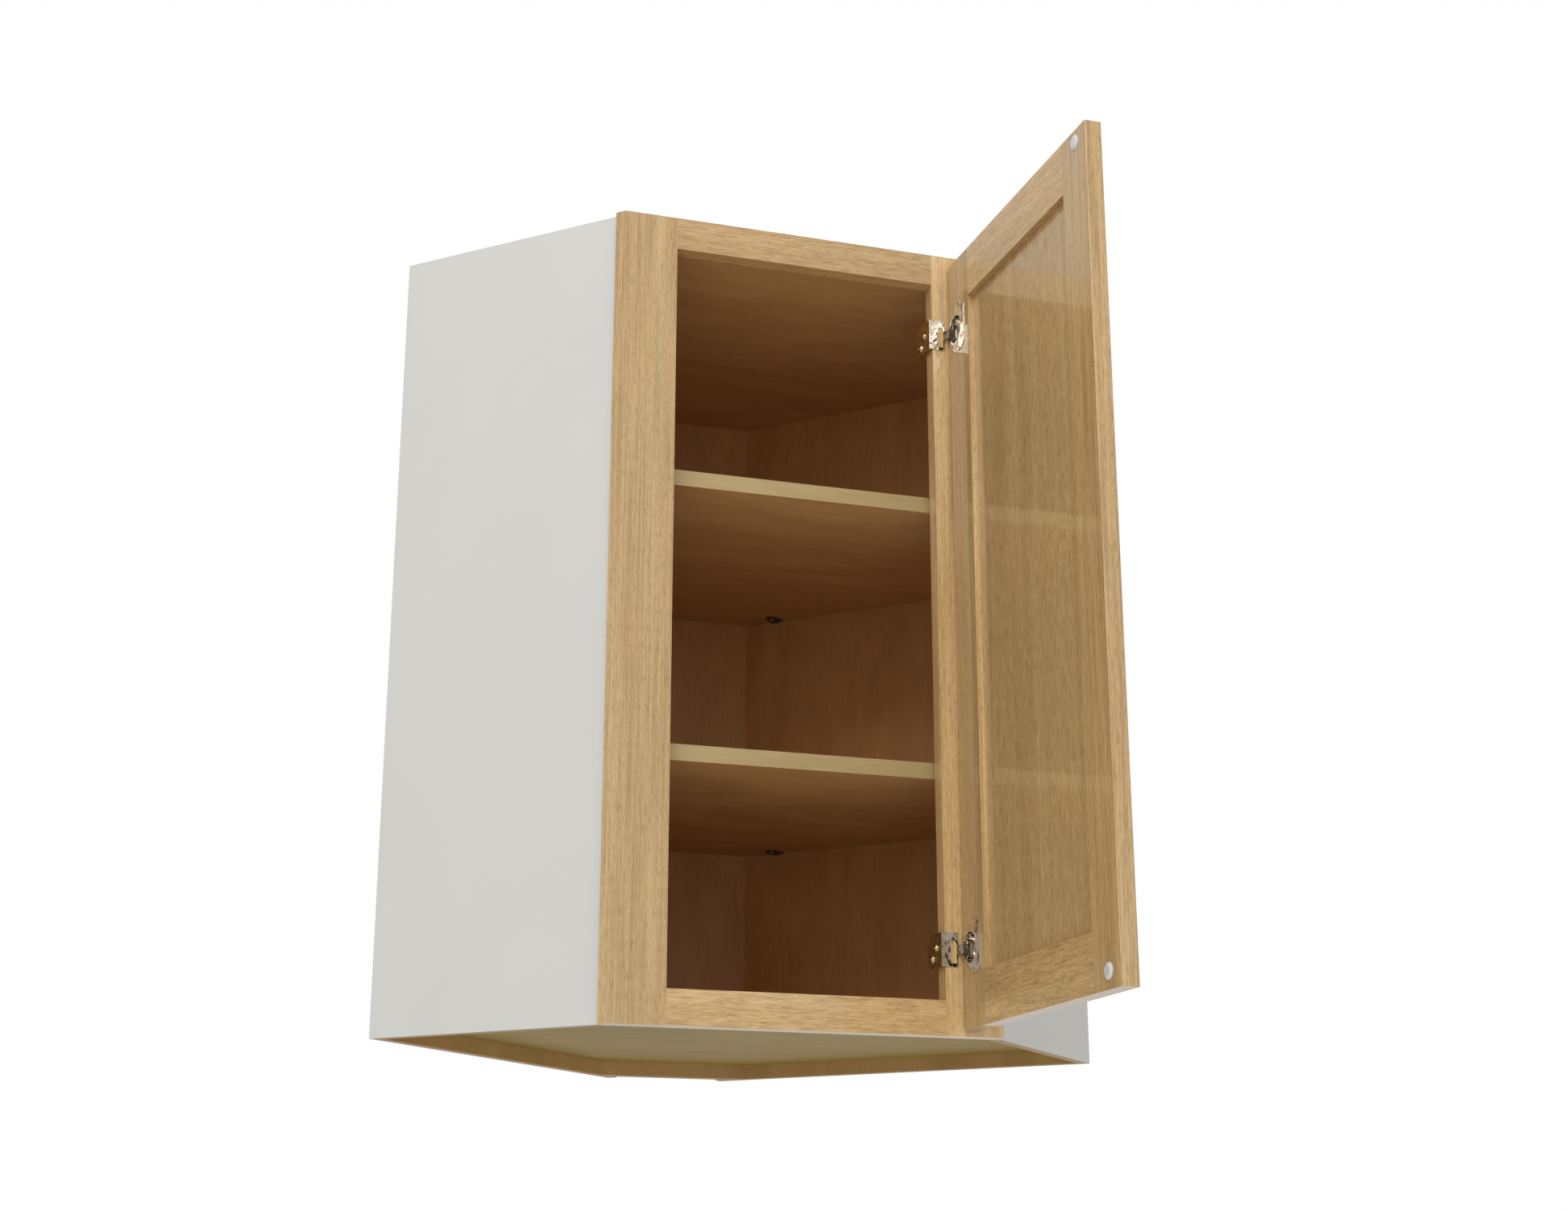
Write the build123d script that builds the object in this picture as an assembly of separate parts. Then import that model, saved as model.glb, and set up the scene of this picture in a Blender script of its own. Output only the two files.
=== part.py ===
from build123d import *
import os
from math import sqrt

# Diagonal corner wall cabinet: oak face frame and five-piece door, laminated sides,
# plywood backs, two shelves on clips and two wrap-around cup hinges.
# Millimetres. +X runs to the right along the face frame, +Y into the cabinet, +Z up.
# The origin is the middle of the face frame's bottom edge, on its front face.
# Everything that is square to the walls is drawn in plan axes turned by 45 degrees:
# there +X points at the right-hand wall and +Y points along it, towards the room corner.

ROOT2 = sqrt(2)

# ---- face frame ----
HEIGHT = 914.4
WALL_LEG = 609.6  # room corner to the outside of the face frame, along each wall
FRAME_WIDTH = 433.4
FRAME_THICKNESS = 19.05
OPENING_WIDTH = 310.7
RAIL_HEIGHT = 38.1
BEVEL = 9.0  # depth of the 45 degree bevel on each stile's outer edge

# ---- carcase ----
SIDE_SETBACK = 5.8  # side panel's outer face behind the stile's bevelled edge
TOP_GAP = 1.5  # carcase top below the top of the face frame
SHEET = 12.7  # side, back and top panels
THICK_SHEET = 19.05  # bottom panel and corner strip
RABBET = 6.35
DADO = 6.0
CORNER_CLIP = 104.8  # room corner to the end of each back panel
CORNER_FACE = 533.5  # front face of the corner strip
BOTTOM_UNDERSIDE = 17.05
TOP_UNDERSIDE = 882.2

# ---- shelves ----
SHELF_UNDERSIDES = {"lower": 286.4, "upper": 601.0}
SHELF_THICKNESS = 18.2
SHELF_FRONT = 28.3
SHELF_CLEARANCE = 1.5
BAND_THICKNESS = 0.8
CLIP_HALF_WIDTH = 8.0
CLIP_LENGTH = 25.0
CLIP_SHEET = 1.8
CLIP_PIN_RADIUS = 1.5
CLIP_PIN_DEPTH = 8.0

# ---- door, closed: centred on the frame with a small gap in front of it ----
DOOR_WIDTH = 374.65
DOOR_HEIGHT = 892.175
DOOR_BOTTOM = 6.35
DOOR_THICKNESS = 19.05
DOOR_GAP = 2.5
DOOR_STILE = 57.3
DOOR_RAIL = 58.5
PANEL_THICKNESS = 6.35
PANEL_RECESS = 7.2  # inner face of the door to the panel
GROOVE = 9.5
PANEL_PLAY = 0.6
EDGE_RADIUS = 1.5

# ---- hinges ----
HINGE_HEIGHTS = {"lower": 92.5, "upper": 812.3}
PIN_FROM_EDGE = 5.6
PIN_DEPTH = 6.5
PIN_RADIUS = 1.1
PIN_HALF_LENGTH = 7.3
PIN_CLEARANCE = 0.05
KNUCKLE_RADIUS = 1.8
KNUCKLE_HALF_HEIGHT = 5.0
CUP_RADIUS = 17.5
CUP_DEPTH = 12.7
CUP_WALL = 1.2
CUP_FROM_EDGE = 20.3
FLANGE = 1.0
ARM_HALF_HEIGHT = 18.5
ARM_SHEET = 1.5
LEG_SHEET = 1.2
LEG_LENGTH = 19.3
HOOK_SHEET = 1.5
PLATE_THICKNESS = 3.15

# ---- places that follow from the sizes above ----
HALF_FRAME = FRAME_WIDTH / 2
HALF_OPENING = OPENING_WIDTH / 2
WALL = WALL_LEG - HALF_FRAME / ROOT2
SIDE_OUT = SIDE_SETBACK - HALF_FRAME / ROOT2
SIDE_IN = SIDE_OUT + SHEET
SIDE_FRONT = (HALF_FRAME + 2 * BEVEL) / ROOT2
BACK_IN = WALL - SHEET
BACK_END = WALL - CORNER_CLIP
CARCASE_TOP = HEIGHT - TOP_GAP

# The door stands open at a right angle, so its inner face looks to the left.
PIN_X = DOOR_WIDTH / 2 - PIN_FROM_EDGE
PIN_Y = -DOOR_GAP - PIN_DEPTH
DOOR_IN = PIN_X - PIN_DEPTH
DOOR_OUT = DOOR_IN + DOOR_THICKNESS
DOOR_HINGE_EDGE = PIN_Y + PIN_FROM_EDGE
DOOR_FREE_EDGE = DOOR_HINGE_EDGE - DOOR_WIDTH
DOOR_TOP = DOOR_BOTTOM + DOOR_HEIGHT
PANEL_IN = DOOR_IN + PANEL_RECESS
PANEL_OUT = PANEL_IN + PANEL_THICKNESS
CUP_Y = DOOR_HINGE_EDGE - CUP_FROM_EDGE
CUP_NEAR = CUP_Y + CUP_RADIUS  # side of the cup next to the door's hinge edge


# ---- drawing helpers ----
def block(x, y, z):
    """Box between pairs of limits."""
    sizes = [high - low for low, high in (x, y, z)]
    return Pos(x[0], y[0], z[0]) * Box(*sizes, align=(Align.MIN, Align.MIN, Align.MIN))


def wall_block(x, y, z):
    """Box in the plan axes that are square to the right-hand wall."""
    return Rot(0, 0, 45) * block(x, y, z)


def prism(outline, low, high):
    """Upright prism over a plan outline."""
    face = make_face(Polyline(*outline, close=True))
    return Pos(0, 0, low) * extrude(face, high - low, dir=(0, 0, 1))


def turned(profile):
    """Body of revolution about Z from (radius, height) points."""
    return revolve(Plane.XZ * make_face(Polyline(*profile, close=True)), Axis.Z)


def facing(point, direction, solid):
    """Solid drawn along +Z, placed at a point with its +Z along a direction."""
    return Plane(origin=point, z_dir=direction) * solid


def wall_point(x, y, z):
    """Point given in the plan axes that are square to the right-hand wall."""
    return ((x - y) / ROOT2, (x + y) / ROOT2, z)


def both_hands(solid):
    """Right-hand solid and its mirror image."""
    return [solid, mirror(solid, about=Plane.YZ)]


def cut(solid, tools):
    """Solid with every tool taken out of it."""
    for tool in tools:
        solid = solid - tool
    return solid


def carcase_outline(front, side, back, corner):
    """Plan of a level board between the front, side, back and corner planes."""
    right = [
        (front - side * ROOT2, front),
        ((back - side) / ROOT2, (back + side) / ROOT2),
        (back * ROOT2 - corner, corner),
    ]
    left = [(-x, y) for x, y in reversed(right)]
    return right + left


# ---- fasteners ----
def countersunk_screw(length, radius, head_radius):
    """Wood screw with its flush head at height 0, pointing down."""
    head_depth = head_radius - radius
    point = 2 * radius
    return turned([
        (0, 0),
        (head_radius, 0),
        (radius, -head_depth),
        (radius, point - length),
        (0, -length),
    ])


def pan_screw(length, radius, head_radius, head_height):
    """Screw with a raised head on height 0, pointing down."""
    crown = head_height / 3
    head = turned([
        (0, 0),
        (head_radius, 0),
        (head_radius, head_height - crown),
        (head_radius - crown, head_height),
        (0, head_height),
    ])
    shank = Pos(0, 0, -length / 2) * Cylinder(radius, length)
    return head + shank - cross_slot(head_radius, head_height)


def cross_slot(head_radius, head_height):
    """Cross-shaped recess in the top of a pan head."""
    length = head_radius * 1.2
    width = head_radius * 0.25
    depth = head_height * 0.6
    bar = Pos(0, 0, head_height) * Box(length, width, 2 * depth)
    return bar + Rot(0, 0, 90) * bar


def back_screws():
    """Screws through the back panels into the edges of the top and bottom panels."""
    heights = [
        BOTTOM_UNDERSIDE + THICK_SHEET / 2,
        TOP_UNDERSIDE + SHEET / 2,
    ]
    screws = []
    for height in heights:
        for along in (-90, 90, 270):
            screw = countersunk_screw(length=38, radius=2, head_radius=4)
            screws += both_hands(facing(wall_point(WALL, along, height), (1, 1, 0), screw))
    return screws


def corner_screws():
    """Short screws through the back panels into the corner strip."""
    middle = CORNER_FACE + THICK_SHEET / 2
    along = ROOT2 * middle - BACK_IN
    screws = []
    for height in (150, 457, 764):
        screw = countersunk_screw(length=22, radius=1.8, head_radius=3.8)
        screws += both_hands(facing(wall_point(WALL, along, height), (1, 1, 0), screw))
    return screws


def frame_dowels():
    """Dowels across the four joints of the face frame."""
    length = 50
    radius = 4
    spread = 9.5
    dowels = []
    for rail_middle in (RAIL_HEIGHT / 2, HEIGHT - RAIL_HEIGHT / 2):
        for offset in (-spread, spread):
            place = Pos(HALF_OPENING, FRAME_THICKNESS / 2, rail_middle + offset)
            dowels += both_hands(place * Rot(0, 90, 0) * Cylinder(radius, length))
    return dowels


# ---- face frame ----
def frame_stile(tools):
    """Right-hand stile, bevelled to lie parallel to the side panel."""
    back_corner = HALF_FRAME + 2 * BEVEL - FRAME_THICKNESS
    outline = [
        (HALF_OPENING, 0),
        (HALF_FRAME, 0),
        (HALF_FRAME + BEVEL, BEVEL),
        (back_corner, FRAME_THICKNESS),
        (HALF_OPENING, FRAME_THICKNESS),
    ]
    return cut(prism(outline, 0, HEIGHT), tools)


def frame_rail(low, tools):
    """Rail between the two stiles."""
    across = (-HALF_OPENING, HALF_OPENING)
    return cut(block(across, (0, FRAME_THICKNESS), (low, low + RAIL_HEIGHT)), tools)


# ---- carcase ----
def level_panel(low, thickness):
    """Top or bottom panel, with its ends housed in the side panels."""
    outline = carcase_outline(FRAME_THICKNESS, SIDE_IN - DADO, BACK_IN, CORNER_FACE)
    return prism(outline, low, low + thickness)


def side_panel(tools):
    """Right-hand side, rabbeted at the wall for the back panel."""
    upright = (0, CARCASE_TOP)
    board = wall_block((SIDE_FRONT, WALL), (SIDE_OUT, SIDE_IN), upright)
    rabbet = wall_block((BACK_IN, WALL), (SIDE_IN - RABBET, SIDE_IN), upright)
    return cut(board - rabbet, tools)


def back_panel(tools):
    """Right-hand back panel, flat against the wall."""
    board = wall_block((BACK_IN, WALL), (SIDE_IN - RABBET, BACK_END), (0, CARCASE_TOP))
    return cut(board, tools)


def corner_strip(tools):
    """Upright strip across the clipped corner, between the back panels."""
    far = CORNER_FACE + THICK_SHEET
    near_half = BACK_IN * ROOT2 - CORNER_FACE
    far_half = BACK_IN * ROOT2 - far
    outline = [
        (-near_half, CORNER_FACE),
        (near_half, CORNER_FACE),
        (far_half, far),
        (-far_half, far),
    ]
    return cut(prism(outline, 0, CARCASE_TOP), tools)


# ---- shelves ----
def shelf(low):
    """Loose shelf, without its front edge band."""
    outline = carcase_outline(
        SHELF_FRONT + BAND_THICKNESS,
        SIDE_IN + SHELF_CLEARANCE,
        BACK_IN - SHELF_CLEARANCE,
        CORNER_FACE - SHELF_CLEARANCE,
    )
    return prism(outline, low, low + SHELF_THICKNESS)


def shelf_band(low):
    """Edge band glued along the front of a shelf."""
    back_half = SHELF_FRONT + BAND_THICKNESS - (SIDE_IN + SHELF_CLEARANCE) * ROOT2
    front_half = back_half - BAND_THICKNESS
    outline = [
        (-front_half, SHELF_FRONT),
        (front_half, SHELF_FRONT),
        (back_half, SHELF_FRONT + BAND_THICKNESS),
        (-back_half, SHELF_FRONT + BAND_THICKNESS),
    ]
    return prism(outline, low, low + SHELF_THICKNESS)


def clip_places(height):
    """Where the four clips of a shelf sit: on the backs and on the sides."""
    back_along = 263.0
    side_along = 283.0
    back_x, back_y, _ = wall_point(BACK_IN, back_along, 0)
    side_x, side_y, _ = wall_point(side_along, SIDE_IN, 0)
    return [
        Location((back_x, back_y, height), (0, 0, 225)),
        Location((side_x, side_y, height), (0, 0, 135)),
        Location((-back_x, back_y, height), (0, 0, -45)),
        Location((-side_x, side_y, height), (0, 0, 45)),
    ]


def clip_pin():
    """Pin at a clip's root, half under its tongue and half in the panel."""
    place = Pos(0, 0, -CLIP_PIN_RADIUS) * Rot(0, 90, 0)
    return place * Cylinder(CLIP_PIN_RADIUS, 2 * CLIP_PIN_DEPTH)


def clip():
    """Spoon-shaped rest: a round-ended tongue under the shelf at z = 0 and a pin in the panel."""
    straight = CLIP_LENGTH - CLIP_HALF_WIDTH
    tongue = block((0, straight), (-CLIP_HALF_WIDTH, CLIP_HALF_WIDTH), (-CLIP_SHEET, 0))
    tip = Pos(straight, 0, -CLIP_SHEET / 2) * Cylinder(CLIP_HALF_WIDTH, CLIP_SHEET)
    return tongue + tip + clip_pin()


def clip_screw():
    """Screw up through a clip's tongue into the shelf."""
    from_panel = CLIP_LENGTH - CLIP_HALF_WIDTH
    screw = pan_screw(length=13, radius=1.4, head_radius=2.6, head_height=1.4)
    return facing((from_panel, 0, -CLIP_SHEET), (0, 0, -1), screw)


# ---- door, drawn in its open position ----
def door_stile(outer_edge, inner_edge, tools):
    """Full-height stile with eased outer edges and a groove for the panel and tenons."""
    low_y, high_y = sorted((outer_edge, inner_edge))
    inward = 1 if outer_edge > inner_edge else -1
    groove_y = sorted((inner_edge, inner_edge + inward * GROOVE))
    board = block((DOOR_IN, DOOR_OUT), (low_y, high_y), (DOOR_BOTTOM, DOOR_TOP))
    upright = board.edges().filter_by(Axis.Z)
    outer = upright.filter_by(lambda edge: abs(edge.center().Y - outer_edge) < 0.01)
    board = fillet(outer, EDGE_RADIUS)
    board = board - block((PANEL_IN, PANEL_OUT), groove_y, (DOOR_BOTTOM, DOOR_TOP))
    return cut(board, tools)


def door_rail(outer_edge, inner_edge):
    """Rail with a tenon at each end and a groove for the panel."""
    low_z, high_z = sorted((outer_edge, inner_edge))
    outward = 1 if outer_edge > inner_edge else -1
    groove_z = sorted((inner_edge, inner_edge + outward * GROOVE))
    left = DOOR_FREE_EDGE + DOOR_STILE
    right = DOOR_HINGE_EDGE - DOOR_STILE
    body = block((DOOR_IN, DOOR_OUT), (left, right), (low_z, high_z))
    tenons = block((PANEL_IN, PANEL_OUT), (left - GROOVE, right + GROOVE), (low_z, high_z))
    groove = block((PANEL_IN, PANEL_OUT), (left - GROOVE, right + GROOVE), groove_z)
    return body + tenons - groove


def door_panel():
    """Flat panel that floats in the grooves."""
    reach = GROOVE - PANEL_PLAY
    across = (DOOR_FREE_EDGE + DOOR_STILE - reach, DOOR_HINGE_EDGE - DOOR_STILE + reach)
    upright = (DOOR_BOTTOM + DOOR_RAIL - reach, DOOR_TOP - DOOR_RAIL + reach)
    return block((PANEL_IN, PANEL_OUT), across, upright)


def bumper(height):
    """Domed disc on the door's inner face."""
    from_free_edge = 25
    radius = 8.5
    thickness = 2.4
    dome = turned([
        (0, 0),
        (radius, 0),
        (radius, thickness * 0.3),
        (radius * 0.86, thickness * 0.67),
        (radius * 0.65, thickness),
        (0, thickness),
    ])
    return facing((DOOR_IN, DOOR_FREE_EDGE + from_free_edge, height), (-1, 0, 0), dome)


# ---- hinge pieces on the door, drawn about height 0 ----
def cup_cylinder(radius, depth):
    """Cylinder on the cup's axis, running into the door from its inner face."""
    return Pos(DOOR_IN + depth / 2, CUP_Y, 0) * Rot(0, 90, 0) * Cylinder(radius, depth)


def flange_outline():
    """Plate around the cup's mouth, with an ear above and below for the screws."""
    ear_half_height = 29
    ear_y = (CUP_Y - 24, CUP_Y + 2)
    ear_corner = 6
    rim_width = 1.5
    ears = block((-FLANGE, 0), ear_y, (-ear_half_height, ear_half_height))
    ears = chamfer(ears.edges().filter_by(Axis.X), ear_corner)
    rim = Pos(-FLANGE / 2, CUP_Y, 0) * Rot(0, 90, 0) * Cylinder(CUP_RADIUS + rim_width, FLANGE)
    land = block((-FLANGE, 0), (CUP_NEAR, 0), (-CUP_RADIUS, CUP_RADIUS))
    return Pos(DOOR_IN, 0, 0) * (ears + rim - land)


def cup_screw_places():
    """Axes of the two screws that hold the cup."""
    from_cup_axis = 9.5
    half_pitch = 22.5
    return [Pos(DOOR_IN - FLANGE, CUP_Y - from_cup_axis, z) for z in (-half_pitch, half_pitch)]


def cup_screws():
    """Countersunk screws through the cup's ears."""
    screw = Rot(0, -90, 0) * countersunk_screw(length=14, radius=1.7, head_radius=3.4)
    return [place * screw for place in cup_screw_places()]


def pin_cylinder(radius, half_length):
    """Cylinder on the hinge axis."""
    return Pos(PIN_X, PIN_Y, 0) * Cylinder(radius, 2 * half_length)


def hinge_cup():
    """Pressed cup with its flange, a window for the arm and a lug at each end of the pin."""
    window_half = KNUCKLE_HALF_HEIGHT + 0.3
    lug_half = 9
    lug_width = 5.4
    lug_depth = PIN_DEPTH + 2.6
    inner_radius = CUP_RADIUS - CUP_WALL
    lug_back = CUP_NEAR - lug_width
    shell = cup_cylinder(CUP_RADIUS, CUP_DEPTH) - cup_cylinder(inner_radius, CUP_DEPTH - CUP_WALL)
    lugs = block(
        (DOOR_IN + 2 * FLANGE, DOOR_IN + lug_depth),
        (lug_back, CUP_NEAR),
        (-lug_half, lug_half),
    ) & cup_cylinder(CUP_RADIUS, CUP_DEPTH)
    window = block(
        (DOOR_IN - FLANGE, DOOR_IN + lug_depth),
        (lug_back, 0),
        (-window_half, window_half),
    )
    mouth = Pos(-FLANGE, 0, 0) * cup_cylinder(inner_radius, 2 * FLANGE)
    body = shell + (flange_outline() - mouth) + lugs - window
    return cut(body, [pin_cylinder(PIN_RADIUS, PIN_HALF_LENGTH)] + cup_screws())


# ---- hinge pieces on the frame, drawn about height 0 ----
def arm_screw_places():
    """Fixing screw and depth cam on the arm: y, z, shank radius, head radius."""
    return {"fixing": (15.5, 3.0, 2.0, 4.0), "cam": (27.0, -8.0, 2.5, 4.8)}


def arm_screw(kind):
    """Raised-head screw through the arm and its mounting plate."""
    y, z, radius, head_radius = arm_screw_places()[kind]
    plate_out = HALF_OPENING - PLATE_THICKNESS
    length = ARM_SHEET + PLATE_THICKNESS
    screw = pan_screw(length, radius, head_radius, head_height=1.8)
    return facing((plate_out - ARM_SHEET, y, z), (-1, 0, 0), screw)


def plate_screws():
    """Wood screws that hold the mounting plate to the stile."""
    half_pitch = 11
    screw = countersunk_screw(length=22, radius=1.8, head_radius=3.6)
    plate_out = HALF_OPENING - PLATE_THICKNESS
    spots = [(plate_out, FRAME_THICKNESS / 2, z) for z in (-half_pitch, half_pitch)]
    return [facing(spot, (-1, 0, 0), screw) for spot in spots]


def mounting_plate():
    """Plate on the stile's inner edge, running on behind the frame."""
    half_height = 15
    corner = 4
    across = (HALF_OPENING - PLATE_THICKNESS, HALF_OPENING)
    plate = block(across, (3, 34), (-half_height, half_height))
    plate = chamfer(plate.edges().filter_by(Axis.X), corner)
    return cut(plate, plate_screws() + [arm_screw("fixing"), arm_screw("cam")])


def hinge_arm():
    """Folded arm: a web inside the opening, a leg on the stile's face and a hook to the pin."""
    web_x = HALF_OPENING - PLATE_THICKNESS - ARM_SHEET
    web_back = 38.5
    web_corner = 9
    upright = (-ARM_HALF_HEIGHT, ARM_HALF_HEIGHT)
    web = block((web_x, web_x + ARM_SHEET), (-LEG_SHEET, web_back), upright)
    back_corners = web.edges().filter_by(Axis.X).filter_by(lambda edge: edge.center().Y > 0)
    web = chamfer(back_corners, web_corner)
    leg_end = web_x + LEG_LENGTH
    leg = block((web_x, leg_end), (-LEG_SHEET, 0), upright)
    body = web + leg - leg_window(leg_end) + hook(leg_end)
    return cut(body, [arm_screw("fixing"), arm_screw("cam")])


def leg_window(leg_end):
    """Round-headed window through the leg, beside the hook."""
    radius = 3.35
    side_strip = 1.8
    sill = -15
    springing = 7
    middle = leg_end - side_strip - radius
    opening = block((middle - radius, middle + radius), (-LEG_SHEET, 0), (sill, springing))
    head = Pos(middle, -LEG_SHEET / 2, springing) * Rot(90, 0, 0) * Cylinder(radius, LEG_SHEET)
    return opening + head


def hook(leg_end):
    """Narrow strip that turns round the door's edge and ends in the knuckle."""
    front = PIN_Y
    root = leg_end - HOOK_SHEET
    bend = leg_end + 1.2
    turn = DOOR_IN - 1.6
    outline = [
        (root, 0),
        (bend, 0),
        (turn, front),
        (PIN_X, front),
        (PIN_X, front - HOOK_SHEET),
        (turn - HOOK_SHEET, front - HOOK_SHEET),
        (root, -LEG_SHEET),
    ]
    strip = prism(outline, -KNUCKLE_HALF_HEIGHT, KNUCKLE_HALF_HEIGHT)
    knuckle = pin_cylinder(KNUCKLE_RADIUS, KNUCKLE_HALF_HEIGHT)
    hole = pin_cylinder(PIN_RADIUS + PIN_CLEARANCE, KNUCKLE_HALF_HEIGHT)
    return strip + knuckle - hole


# ---- writing the nodes ----
def at_hinges(solids):
    """Copies of the solids at both hinge heights."""
    return [Pos(0, 0, height) * solid for height in HINGE_HEIGHTS.values() for solid in solids]


def at_clips(solid):
    """Copies of a solid at the four clips under both shelves."""
    return [place * solid for low in SHELF_UNDERSIDES.values() for place in clip_places(low)]


def carcase_nodes():
    """Fixed wooden pieces and their fasteners."""
    dowels = frame_dowels()
    backs = back_screws()
    corners = corner_screws()
    bottom = level_panel(BOTTOM_UNDERSIDE, THICK_SHEET)
    top = level_panel(TOP_UNDERSIDE, SHEET)
    clips = at_clips(clip())
    clip_pins = at_clips(clip_pin())
    clip_fixings = at_clips(clip_screw())
    stile = frame_stile(dowels)
    hinge_fixings = at_hinges(plate_screws())
    side = side_panel([bottom, top] + clip_pins)
    back = back_panel(backs + corners + clip_pins)
    nodes = {
        "frame_left_stile": [mirror(stile, about=Plane.YZ)],
        "frame_right_stile": [cut(stile, hinge_fixings)],
        "frame_bottom_rail": [frame_rail(0, dowels)],
        "frame_top_rail": [frame_rail(HEIGHT - RAIL_HEIGHT, dowels)],
        "frame_dowels": dowels,
        "bottom_panel": [cut(bottom, backs)],
        "top_panel": [cut(top, backs)],
        "right_side_panel": [side],
        "left_side_panel": [mirror(side, about=Plane.YZ)],
        "right_back_panel": [back],
        "left_back_panel": [mirror(back, about=Plane.YZ)],
        "corner_strip": [corner_strip(corners)],
        "back_screws": backs,
        "corner_screws": corners,
        "shelf_clips": [cut(each, clip_fixings) for each in clips],
        "shelf_clip_screws": clip_fixings,
    }
    for name, low in SHELF_UNDERSIDES.items():
        nodes[f"{name}_shelf"] = [cut(shelf(low), clip_fixings)]
        nodes[f"{name}_shelf_band"] = [shelf_band(low)]
    return nodes


def hinge_nodes():
    """Hinge pieces, on the frame and on the door."""
    nodes = {
        "hinge_plate_screws": at_hinges(plate_screws()),
        "hinge_fixing_screws": at_hinges([arm_screw("fixing")]),
        "hinge_cam_screws": at_hinges([arm_screw("cam")]),
        "hinge_cup_screws": at_hinges(cup_screws()),
        "hinge_pins": at_hinges([pin_cylinder(PIN_RADIUS, PIN_HALF_LENGTH)]),
    }
    for name, height in HINGE_HEIGHTS.items():
        place = Pos(0, 0, height)
        nodes[f"{name}_hinge_plate"] = [place * mounting_plate()]
        nodes[f"{name}_hinge_arm"] = [place * hinge_arm()]
        nodes[f"{name}_hinge_cup"] = [place * hinge_cup()]
    return nodes


def door_nodes():
    """Pieces of the door."""
    bores = at_hinges([cup_cylinder(CUP_RADIUS, CUP_DEPTH)] + cup_screws())
    top_inner = DOOR_TOP - DOOR_RAIL
    bottom_inner = DOOR_BOTTOM + DOOR_RAIL
    bumper_inset = {"upper": 14, "lower": 17.3}
    return {
        "door_hinge_stile": [door_stile(DOOR_HINGE_EDGE, DOOR_HINGE_EDGE - DOOR_STILE, bores)],
        "door_free_stile": [door_stile(DOOR_FREE_EDGE, DOOR_FREE_EDGE + DOOR_STILE, [])],
        "door_top_rail": [door_rail(DOOR_TOP, top_inner)],
        "door_bottom_rail": [door_rail(DOOR_BOTTOM, bottom_inner)],
        "door_panel": [door_panel()],
        "upper_bumper": [bumper(DOOR_TOP - bumper_inset["upper"])],
        "lower_bumper": [bumper(DOOR_BOTTOM + bumper_inset["lower"])],
    }


def write(nodes):
    """One STEP file for each node."""
    os.makedirs("parts", exist_ok=True)
    for name, solids in nodes.items():
        flat = [solid for item in solids for solid in item.solids()]
        shape = flat[0] if len(flat) == 1 else Compound(children=flat)
        export_step(shape, f"parts/{name}.step")
        print(name, len(flat))


write(carcase_nodes() | hinge_nodes() | door_nodes())
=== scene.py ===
from math import cos, inf, pi, radians, sin, sqrt

import bpy
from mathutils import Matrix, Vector

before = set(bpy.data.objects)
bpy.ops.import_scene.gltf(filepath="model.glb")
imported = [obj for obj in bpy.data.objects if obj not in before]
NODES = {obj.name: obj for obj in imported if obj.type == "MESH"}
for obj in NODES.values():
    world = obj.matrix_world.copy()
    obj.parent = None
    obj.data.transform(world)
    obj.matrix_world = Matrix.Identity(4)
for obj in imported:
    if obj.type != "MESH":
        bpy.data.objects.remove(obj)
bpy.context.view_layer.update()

# Metres, in the CAD's frame: +X right along the face frame, +Y into the cabinet, +Z up.
# The cabinet hangs on a wall corner, so the floor is a wall cabinet's usual height below it.
DIAGONAL = 1 / sqrt(2)
HUNG_HEIGHT = 1.372
FLOOR_REACH = 12

CAMERA_PLACE = (-0.7782, -2.2827, -0.2729)
CAMERA_AZIMUTH = radians(18.20)
CAMERA_ELEVATION = radians(17.03)
CAMERA_LENS = 52.32
SENSOR_WIDTH = 36
LAMP_TARGET = Vector((0, 0, 0.45))

UP_GRAIN = "up"
ACROSS_GRAIN = "across"
INWARD_GRAIN = "inward"

# Oak figure: how fine its streaks are, and how far they are drawn out along the grain.
STRAIGHT = (330, 0.015)
SHORT = (420, 0.07)
FINE = (620, 0.11)

# Dark and pale ends of each veneer's figure, and of the beech dowels.
UPRIGHT_VENEER = ((0.48, 0.236, 0.075), (0.56, 0.288, 0.100))
# Brighter copy of the upright veneer: painted light on the top, bottom and shelves.
LIT_LEVEL_VENEER = ((0.54, 0.303, 0.116), (0.63, 0.372, 0.154))
# The underside's own greyer veneer, darkened further as painted shade.
SHADED_UNDERSIDE_VENEER = ((0.25, 0.168, 0.040), (0.285, 0.195, 0.050))
# Duller copy of the upright veneer, as painted shade in the recess below the bottom panel.
SHADED_RECESS_VENEER = ((0.365, 0.212, 0.067), (0.425, 0.259, 0.089))
BAND_VENEER = ((0.37, 0.265, 0.112), (0.42, 0.310, 0.136))
BEECH = ((0.50, 0.34, 0.18), (0.60, 0.43, 0.25))

# Painted shade: what the corner strip's colour is multiplied by below the bottom panel, where the
# recess lies in shade.
RECESS_PAINTED_SHADE = (0.76, 0.90, 0.89)

# From one dark ply to the next on a cut edge.
PLY_PITCH = 0.005


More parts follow.
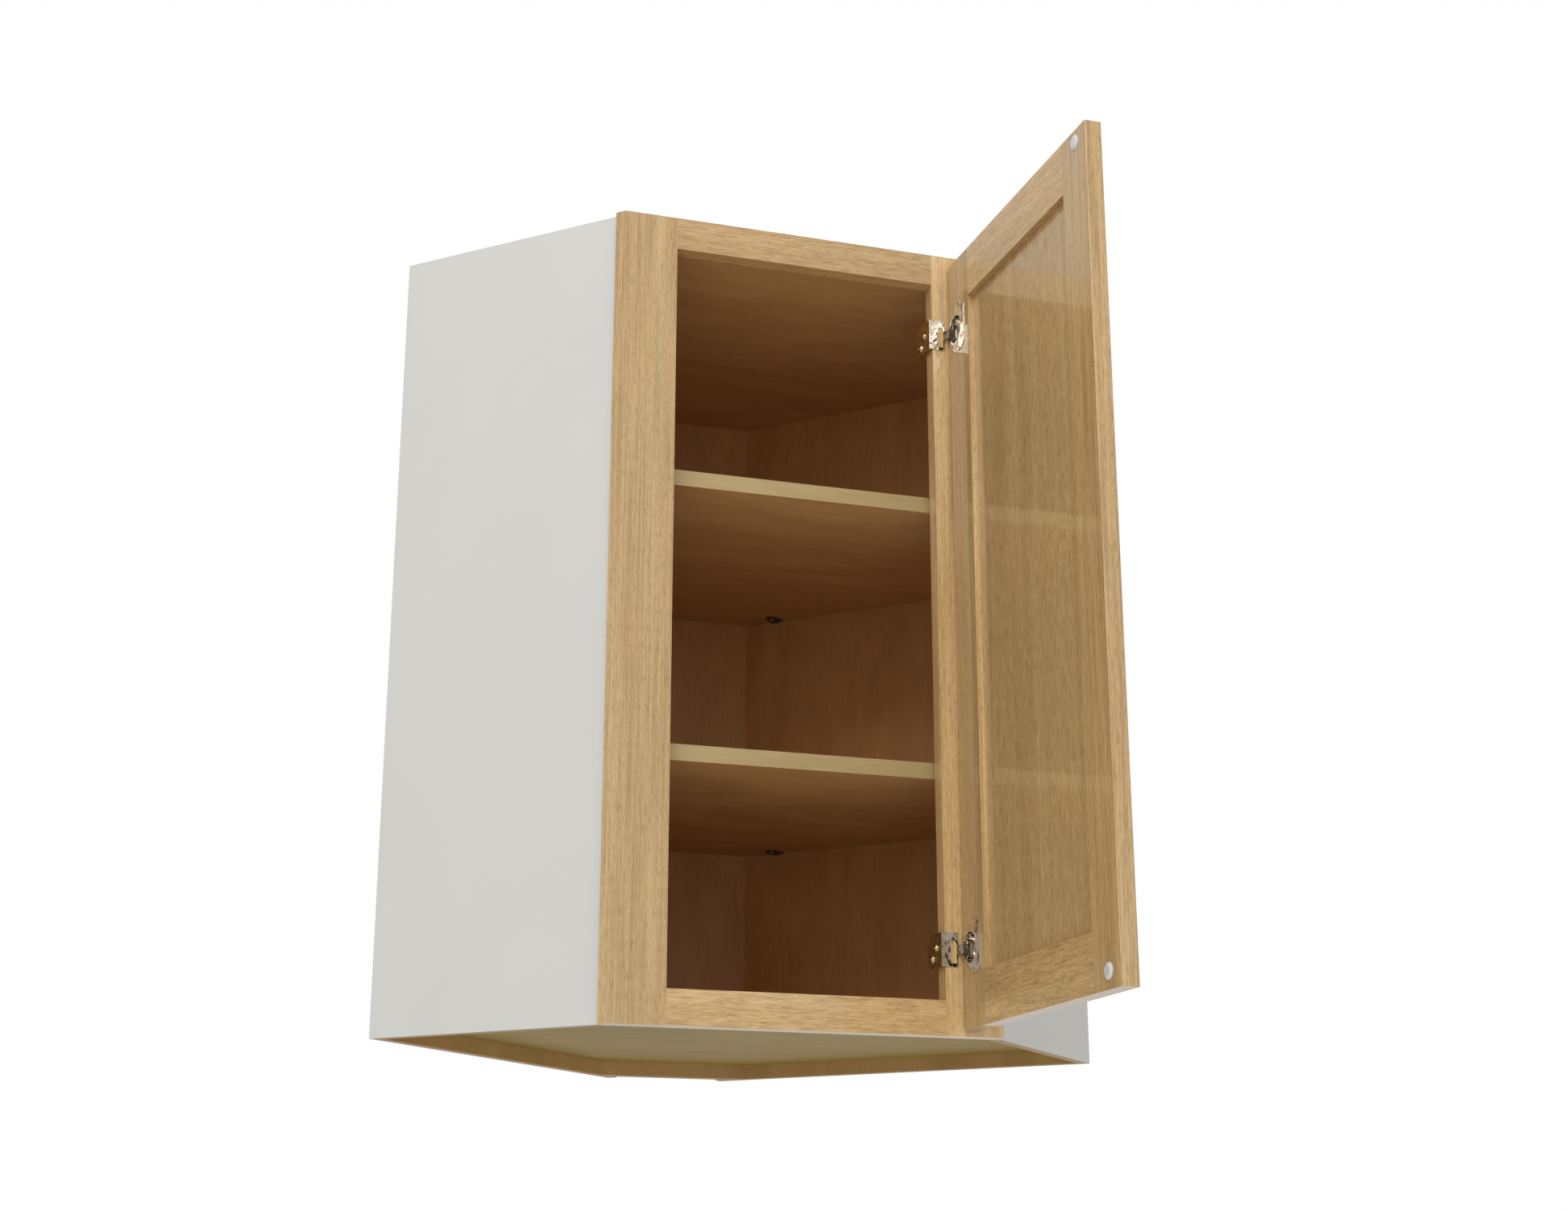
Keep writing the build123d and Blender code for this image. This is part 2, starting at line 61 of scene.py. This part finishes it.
# ---- node tree helpers ----
class Shader:
    """A new material's node tree, with short calls to add and link nodes."""

    def __init__(self, name):
        self.material = bpy.data.materials.new(name)
        self.material.use_nodes = True
        self.tree = self.material.node_tree
        self.surface = self.tree.nodes["Principled BSDF"]

    def add(self, kind, **settings):
        """New node, with its properties set."""
        node = self.tree.nodes.new(kind)
        for key, value in settings.items():
            setattr(node, key, value)
        return node

    def link(self, source, target):
        """Joins an output socket to an input socket."""
        self.tree.links.new(source, target)

    def drive(self, **sources):
        """Links sources to the surface's inputs, named with underscores for spaces."""
        for name, source in sources.items():
            self.link(source, self.surface.inputs[name.replace("_", " ")])

    def fix(self, **values):
        """Sets constants on the surface's inputs, named with underscores for spaces."""
        for name, value in values.items():
            self.surface.inputs[name.replace("_", " ")].default_value = value

    def place(self, scale=(1, 1, 1), offset=(0, 0, 0), turn=0):
        """The piece's own coordinates, scaled, shifted and turned about Z."""
        coordinates = self.add("ShaderNodeTexCoord")
        mapping = self.add("ShaderNodeMapping")
        mapping.inputs["Scale"].default_value = scale
        mapping.inputs["Location"].default_value = offset
        mapping.inputs["Rotation"].default_value = (0, 0, turn)
        self.link(coordinates.outputs["Object"], mapping.inputs["Vector"])
        return mapping.outputs["Vector"]

    def height(self):
        """Height above the frame's bottom edge, in metres."""
        node = self.add("ShaderNodeSeparateXYZ")
        self.link(self.place(), node.inputs["Vector"])
        return node.outputs["Z"]

    def noise(self, vector, scale, detail=2.0, roughness=0.5, distortion=0.0):
        """Noise value over a vector."""
        node = self.add("ShaderNodeTexNoise")
        node.inputs["Scale"].default_value = scale
        node.inputs["Detail"].default_value = detail
        node.inputs["Roughness"].default_value = roughness
        node.inputs["Distortion"].default_value = distortion
        self.link(vector, node.inputs["Vector"])
        return node.outputs["Fac"]

    def figure(self, grain, along, offset, **look):
        """Noise drawn out along the grain."""
        return self.noise(self.place(stretched(grain, along), offset), **look)

    def layers(self, vector, pitch):
        """Bands across the vector's first axis, a pitch apart."""
        node = self.add("ShaderNodeTexWave", wave_type="BANDS", bands_direction="X")
        node.inputs["Scale"].default_value = pi / (10 * pitch)
        self.link(vector, node.inputs["Vector"])
        return node.outputs["Fac"]

    def ramp(self, factor, stops):
        """Colour ramp over (position, colour) stops."""
        node = self.add("ShaderNodeValToRGB")
        elements = node.color_ramp.elements
        while len(elements) < len(stops):
            elements.new(0.5)
        for element, (position, colour) in zip(elements, stops):
            element.position = position
            element.color = (*colour, 1)
        self.link(factor, node.inputs["Fac"])
        return node.outputs["Color"]

    def span(self, factor, low, high, start, end):
        """Maps low..high of a value to start..end."""
        node = self.add("ShaderNodeMapRange")
        self.link(factor, node.inputs["Value"])
        limits = {"From Min": low, "From Max": high, "To Min": start, "To Max": end}
        for socket, value in limits.items():
            node.inputs[socket].default_value = value
        return node.outputs["Result"]

    def multiply(self, first, *others):
        """Colour multiplied by other colours."""
        for other in others:
            node = self.add("ShaderNodeMix", data_type="RGBA", blend_type="MULTIPLY")
            node.inputs["Factor"].default_value = 1
            self.link(first, node.inputs["A"])
            self.link(other, node.inputs["B"])
            first = node.outputs["Result"]
        return first

    def bump(self, height, distance, strength):
        """Bump on the surface's normal."""
        node = self.add("ShaderNodeBump")
        node.inputs["Distance"].default_value = distance
        node.inputs["Strength"].default_value = strength
        self.link(height, node.inputs["Height"])
        self.drive(Normal=node.outputs["Normal"])


def stretched(grain, along):
    """Mapping scale that draws a pattern out along the grain."""
    return {
        UP_GRAIN: (1, 1, along),
        ACROSS_GRAIN: (along, 1, 1),
        INWARD_GRAIN: (1, along, 1),
    }[grain]


def toned(colour, tone):
    """Colour made lighter or darker."""
    return tuple(tone * part for part in colour)


# ---- materials ----
def oak(name, grain, offset, tone, figure):
    """Natural oak under clear lacquer: soft bands, streaks, fine pores and short flecks."""
    fineness, along = figure
    shader = Shader(name)
    bands = shader.figure(grain, 0.04, offset, scale=42, detail=3, distortion=0.5)
    streaks = shader.figure(
        grain, along, offset, scale=fineness, detail=4, roughness=0.7, distortion=0.15
    )
    flecks = shader.figure(grain, 0.12, offset, scale=760, roughness=0.6)
    pores = shader.figure(grain, 0.04, offset, scale=1400, roughness=0.6)
    colour = shader.ramp(bands, [
        (0.30, toned((0.462, 0.294, 0.124), tone)),
        (0.50, toned((0.515, 0.338, 0.148), tone)),
        (0.70, toned((0.560, 0.384, 0.180), tone)),
    ])
    streak_tint = shader.ramp(streaks, [(0.38, (0.80, 0.77, 0.71)), (0.58, (1.05, 1.05, 1.05))])
    fleck_tint = shader.ramp(flecks, [(0.36, (0.84, 0.81, 0.76)), (0.50, (1.02, 1.02, 1.02))])
    pore_tint = shader.ramp(pores, [(0.32, (0.70, 0.64, 0.56)), (0.45, (1, 1, 1))])
    shader.drive(
        Base_Color=shader.multiply(colour, streak_tint, fleck_tint, pore_tint),
        Roughness=shader.span(pores, 0.3, 0.6, 0.55, 0.42),
    )
    shader.fix(Specular_IOR_Level=0.25, Coat_Weight=0.9, Coat_Roughness=0.08)
    shader.bump(pores, 0.00008, 0.4)
    return shader.material


def plywood(name, grain, offset, colours, shine=0.5, painted_shade_below=None):
    """Rotary-cut veneer: wide wavy figure with faint fine grain, with painted shade below a given
    height.
    """
    dark, pale = colours
    shader = Shader(name)
    figure = shader.figure(
        grain, 0.25, offset, scale=14, detail=4, roughness=0.55, distortion=1.2
    )
    fine = shader.figure(grain, 0.05, offset, scale=500, roughness=0.6)
    tint = shader.ramp(fine, [(0.3, (0.92, 0.91, 0.90)), (0.6, (1.02, 1.02, 1.02))])
    colour = shader.multiply(shader.ramp(figure, [(0.34, dark), (0.64, pale)]), tint)
    if painted_shade_below is not None:
        step = 0.0002
        recess_shade_stops = [(painted_shade_below, RECESS_PAINTED_SHADE), (painted_shade_below + step, (1, 1, 1))]
        colour = shader.multiply(colour, shader.ramp(shader.height(), recess_shade_stops))
    shader.drive(
        Base_Color=colour,
        Roughness=shader.span(fine, 0.3, 0.7, 0.50, 0.42),
    )
    shader.fix(Specular_IOR_Level=shine)
    shader.bump(fine, 0.00006, 0.4)
    return shader.material


def ply_edge(name, turn):
    """Cut edge of plywood, with its layers across the board's thickness."""
    shader = Shader(name)
    layers = shader.layers(shader.place(turn=turn), PLY_PITCH)
    fibres = shader.noise(shader.place(), scale=900, detail=3, roughness=0.6)
    tint = shader.ramp(fibres, [(0.3, (0.80, 0.78, 0.75)), (0.6, (1.03, 1.03, 1.03))])
    colour = shader.ramp(layers, [(0.35, (0.30, 0.19, 0.10)), (0.55, (0.50, 0.36, 0.20))])
    shader.drive(
        Base_Color=shader.multiply(colour, tint),
        Roughness=shader.span(fibres, 0.3, 0.7, 0.75, 0.65),
    )
    shader.bump(fibres, 0.00015, 0.5)
    return shader.material


def laminate(name):
    """Pale grey laminate with hardly visible clouding."""
    shader = Shader(name)
    clouds = shader.noise(shader.place(), scale=7, detail=3, roughness=0.6, distortion=0.5)
    grit = shader.noise(shader.place(), scale=1600, roughness=0.7)
    greys = [(0.35, (0.540, 0.535, 0.505)), (0.65, (0.552, 0.547, 0.517))]
    shader.drive(
        Base_Color=shader.ramp(clouds, greys),
        Roughness=shader.span(grit, 0.3, 0.7, 0.52, 0.62),
    )
    shader.bump(grit, 0.00004, 0.3)
    return shader.material


def nickel(name, tint, roughness):
    """Bright plated steel, slightly wavy from the press, with faint rubbing marks."""
    shader = Shader(name)
    marks = shader.noise(shader.place((1, 1, 0.2)), scale=700, detail=3, roughness=0.65)
    stain = shader.noise(shader.place(), scale=120)
    waves = shader.noise(shader.place(), scale=130)
    shader.drive(
        Base_Color=shader.ramp(stain, [(0.35, toned(tint, 0.85)), (0.6, tint)]),
        Roughness=shader.span(marks, 0.3, 0.7, roughness * 0.7, roughness * 1.4),
    )
    shader.fix(Metallic=1)
    shader.bump(waves, 0.0010, 1)
    return shader.material


def brown_plastic(name):
    """Dark brown moulded plastic, slightly uneven."""
    shader = Shader(name)
    mottle = shader.noise(shader.place(), scale=300, detail=3, roughness=0.6)
    browns = [(0.3, (0.070, 0.024, 0.010)), (0.7, (0.100, 0.036, 0.015))]
    shader.drive(
        Base_Color=shader.ramp(mottle, browns),
        Roughness=shader.span(mottle, 0.3, 0.7, 0.35, 0.50),
    )
    shader.bump(mottle, 0.00005, 0.3)
    return shader.material


def clear_plastic(name):
    """Soft clear polyurethane with a milky haze."""
    shader = Shader(name)
    haze = shader.noise(shader.place(), scale=400)
    whites = [(0.3, (0.86, 0.84, 0.82)), (0.7, (0.96, 0.95, 0.94))]
    shader.drive(
        Base_Color=shader.ramp(haze, whites),
        Roughness=shader.span(haze, 0.3, 0.7, 0.06, 0.16),
    )
    shader.fix(Transmission_Weight=0.35, IOR=1.48, Coat_Weight=1.0, Coat_Roughness=0.04)
    shader.bump(haze, 0.00005, 0.2)
    return shader.material


# ---- dressing the CAD nodes ----
def dress(node, material):
    """Gives a whole node one material."""
    mesh = NODES[node].data
    mesh.materials.clear()
    mesh.materials.append(material)


def face_with(node, direction, material, below=inf):
    """Adds a material to the faces of a node that look along a direction, under a height."""
    aligned = 0.99
    mesh = NODES[node].data
    mesh.materials.append(material)
    index = len(mesh.materials) - 1
    for polygon in mesh.polygons:
        if polygon.center.z < below and polygon.normal.dot(Vector(direction)) > aligned:
            polygon.material_index = index


def dress_oak():
    """Each oak piece is its own board, with its grain's direction, a brightness factor and its
    flecks; the door's panel step and the opening's lip get brighter copies of the oak as painted
    light.
    """
    boards = {
        "frame_left_stile": (UP_GRAIN, 0.92, STRAIGHT),
        "frame_right_stile": (UP_GRAIN, 1.20, STRAIGHT),
        "frame_top_rail": (ACROSS_GRAIN, 0.98, SHORT),
        "frame_bottom_rail": (ACROSS_GRAIN, 1.09, SHORT),
        "door_hinge_stile": (UP_GRAIN, 0.88, STRAIGHT),
        "door_free_stile": (UP_GRAIN, 0.98, STRAIGHT),
        "door_top_rail": (INWARD_GRAIN, 1.16, SHORT),
        "door_bottom_rail": (INWARD_GRAIN, 1.03, SHORT),
        "door_panel": (UP_GRAIN, 0.94, FINE),
    }
    for number, (node, (grain, tone, figure)) in enumerate(boards.items()):
        offset = (0.37 * number, 0.53 * number, 0.71 * number)
        dress(node, oak(f"oak_{node}", grain, offset, tone, figure))
    # Painted light: the hinge stile's faces turned to -Y, at the panel step, are a brighter copy
    # of the oak.
    step = oak("oak_panel_step_painted_light", UP_GRAIN, (4.1, 5.3, 6.7), 1.25, STRAIGHT)
    face_with("door_hinge_stile", (0, -1, 0), step)
    # Painted light: the top rail's underside, the opening's lip, is a brighter copy of the oak.
    lip = oak("oak_opening_lip_painted_light", ACROSS_GRAIN, (7.3, 2.9, 5.1), 1.40, SHORT)
    face_with("frame_top_rail", (0, 0, -1), lip)


def dress_uprights():
    """Sides, backs and corner strip: veneered inside, plies on the bare ends, laminated sides,
    with painted shade in the recess below the bottom panel.
    """
    thickness_turns = {
        "left_side_panel": -pi / 4,
        "right_side_panel": pi / 4,
        "left_back_panel": pi / 4,
        "right_back_panel": -pi / 4,
        "corner_strip": pi / 2,
    }
    underside = min(vertex.co.z for vertex in NODES["bottom_panel"].data.vertices)
    still = (0, 0, 0)
    inside = plywood("veneer_upright", UP_GRAIN, still, UPRIGHT_VENEER)
    # The corner strip's veneer is darkened below the bottom panel as painted shade.
    strip = plywood("veneer_strip", UP_GRAIN, still, UPRIGHT_VENEER, painted_shade_below=underside)
    for node, turn in thickness_turns.items():
        dress(node, strip if node == "corner_strip" else inside)
        edge = ply_edge(f"edge_{node}", turn)
        for direction in ((0, 0, 1), (0, 0, -1)):
            face_with(node, direction, edge)
    skin = laminate("laminate")
    face_with("left_side_panel", (-DIAGONAL, -DIAGONAL, 0), skin)
    face_with("right_side_panel", (DIAGONAL, -DIAGONAL, 0), skin)
    paint_recess_shade(underside)


def paint_recess_shade(underside):
    """Painted shade: a duller copy of the upright veneer on the inner faces of the sides and
    backs, below the bottom panel.
    """
    recess = plywood("veneer_recess_painted_shade", UP_GRAIN, (6, 3, 1), SHADED_RECESS_VENEER, shine=0.3)
    inward = {
        "left_side_panel": (DIAGONAL, DIAGONAL, 0),
        "right_side_panel": (-DIAGONAL, DIAGONAL, 0),
        "left_back_panel": (DIAGONAL, -DIAGONAL, 0),
        "right_back_panel": (-DIAGONAL, -DIAGONAL, 0),
    }
    for node, direction in inward.items():
        face_with(node, direction, recess, below=underside)


def dress_levels():
    """Top, bottom and shelves in a brighter copy of the inside veneer as painted light, with the
    shelves' front edge bands and painted shade on the bottom's underside.
    """
    inside = plywood("veneer_level_painted_light", ACROSS_GRAIN, (3, 1, 2), LIT_LEVEL_VENEER)
    outside = plywood("veneer_underside_painted_shade", ACROSS_GRAIN, (5, 2, 4), SHADED_UNDERSIDE_VENEER, shine=0.1)
    band = plywood("veneer_band", ACROSS_GRAIN, (1, 4, 7), BAND_VENEER)
    for node in ("top_panel", "bottom_panel", "upper_shelf", "lower_shelf"):
        dress(node, inside)
    # The bottom's underside is darkened as painted shade.
    face_with("bottom_panel", (0, 0, -1), outside)
    for node in ("upper_shelf_band", "lower_shelf_band"):
        dress(node, band)


def dress_hardware():
    """Hinges, screws, clips, dowels and bumpers."""
    bright = nickel("bright_nickel", (0.62, 0.57, 0.50), 0.06)
    # The arm's darker nickel stands in for the oak it reflects: painted reflection.
    darkened_arm_nickel = nickel("nickel_arm_painted_reflection", (0.50, 0.45, 0.39), 0.08)
    # The gold tint on this nickel is painted reflection of the brown wood around the hinge plate
    # and the arm's web.
    wood_reflection_nickel = nickel("nickel_painted_wood_reflection", (0.92, 0.74, 0.30), 0.30)
    zinc = nickel("zinc_plate", (0.66, 0.66, 0.64), 0.28)
    brown = brown_plastic("brown_plastic")
    clear = clear_plastic("clear_plastic")
    dowel = plywood("beech_dowel", ACROSS_GRAIN, (2, 2, 2), BEECH)
    for node in NODES:
        if "hinge" in node and not node.startswith(("door", "frame")):
            dress(node, bright)
    for name in ("upper", "lower"):
        dress(f"{name}_hinge_plate", wood_reflection_nickel)
        dress(f"{name}_hinge_arm", darkened_arm_nickel)
        # The arm's web faces, turned to -X, get the gold tint as painted reflection.
        face_with(f"{name}_hinge_arm", (-1, 0, 0), wood_reflection_nickel)
    for node in ("back_screws", "corner_screws", "hinge_plate_screws", "shelf_clip_screws"):
        dress(node, zinc)
    dress("shelf_clips", brown)
    dress("frame_dowels", dowel)
    for node in ("upper_bumper", "lower_bumper"):
        dress(node, clear)


# ---- surroundings ----
def make_floor():
    """Pale floor, as far below as under a hung wall cabinet."""
    signs = ((-1, -1), (1, -1), (1, 1), (-1, 1))
    corners = [(FLOOR_REACH * x, FLOOR_REACH * y, -HUNG_HEIGHT) for x, y in signs]
    mesh = bpy.data.meshes.new("floor")
    mesh.from_pydata(corners, [], [(0, 1, 2, 3)])
    floor = bpy.data.objects.new("floor", mesh)
    bpy.context.scene.collection.objects.link(floor)
    shader = Shader("floor_paint")
    grit = shader.noise(shader.place(), scale=30)
    greys = [(0.3, (0.81, 0.81, 0.80)), (0.7, (0.83, 0.83, 0.82))]
    shader.drive(Base_Color=shader.ramp(grit, greys))
    shader.fix(Roughness=0.9)
    mesh.materials.append(shader.material)


def make_world():
    """Soft light from all round, most from the front left and above, on a white background."""
    brightest = Vector((-0.35, -0.80, 0.45)).normalized()
    behind, ahead = 0.38, 1.12
    world = bpy.data.worlds.new("studio")
    bpy.context.scene.world = world
    world.use_nodes = True
    tree = world.node_tree
    background = tree.nodes["Background"]
    background.inputs["Color"].default_value = (1, 1, 1, 1)
    coordinates = tree.nodes.new("ShaderNodeTexCoord")
    towards = tree.nodes.new("ShaderNodeVectorMath")
    towards.operation = "DOT_PRODUCT"
    towards.inputs[1].default_value = brightest
    fall = tree.nodes.new("ShaderNodeMapRange")
    fall.inputs["From Min"].default_value = -1
    fall.inputs["To Min"].default_value = behind
    fall.inputs["To Max"].default_value = ahead
    path = tree.nodes.new("ShaderNodeLightPath")
    choose = tree.nodes.new("ShaderNodeMix")
    choose.data_type = "FLOAT"
    choose.inputs["B"].default_value = 1
    tree.links.new(coordinates.outputs["Generated"], towards.inputs[0])
    tree.links.new(towards.outputs["Value"], fall.inputs["Value"])
    tree.links.new(path.outputs["Is Camera Ray"], choose.inputs["Factor"])
    tree.links.new(fall.outputs["Result"], choose.inputs["A"])
    tree.links.new(choose.outputs["Result"], background.inputs["Strength"])


def make_light(name, place, side, power):
    """Large soft square lamp, turned to the middle of the cabinet."""
    data = bpy.data.lights.new(name, "AREA")
    data.size = side
    data.energy = power
    lamp = bpy.data.objects.new(name, data)
    lamp.location = place
    lamp.rotation_euler = (LAMP_TARGET - lamp.location).to_track_quat("-Z", "Y").to_euler()
    bpy.context.scene.collection.objects.link(lamp)


def make_camera():
    """Low three-quarter view from the front left, looking up into the cabinet."""
    data = bpy.data.cameras.new("camera")
    data.lens = CAMERA_LENS
    data.sensor_width = SENSOR_WIDTH
    camera = bpy.data.objects.new("camera", data)
    camera.location = CAMERA_PLACE
    level = cos(CAMERA_ELEVATION)
    forward = Vector((
        sin(CAMERA_AZIMUTH) * level,
        cos(CAMERA_AZIMUTH) * level,
        sin(CAMERA_ELEVATION),
    ))
    camera.rotation_euler = forward.to_track_quat("-Z", "Y").to_euler()
    bpy.context.scene.collection.objects.link(camera)
    bpy.context.scene.camera = camera


dress_oak()
dress_uprights()
dress_levels()
dress_hardware()
make_floor()
make_world()
make_light("key", place=(-1.4, -2.8, 2.6), side=2.0, power=48)
make_camera()
bpy.context.scene.view_settings.view_transform = "Standard"
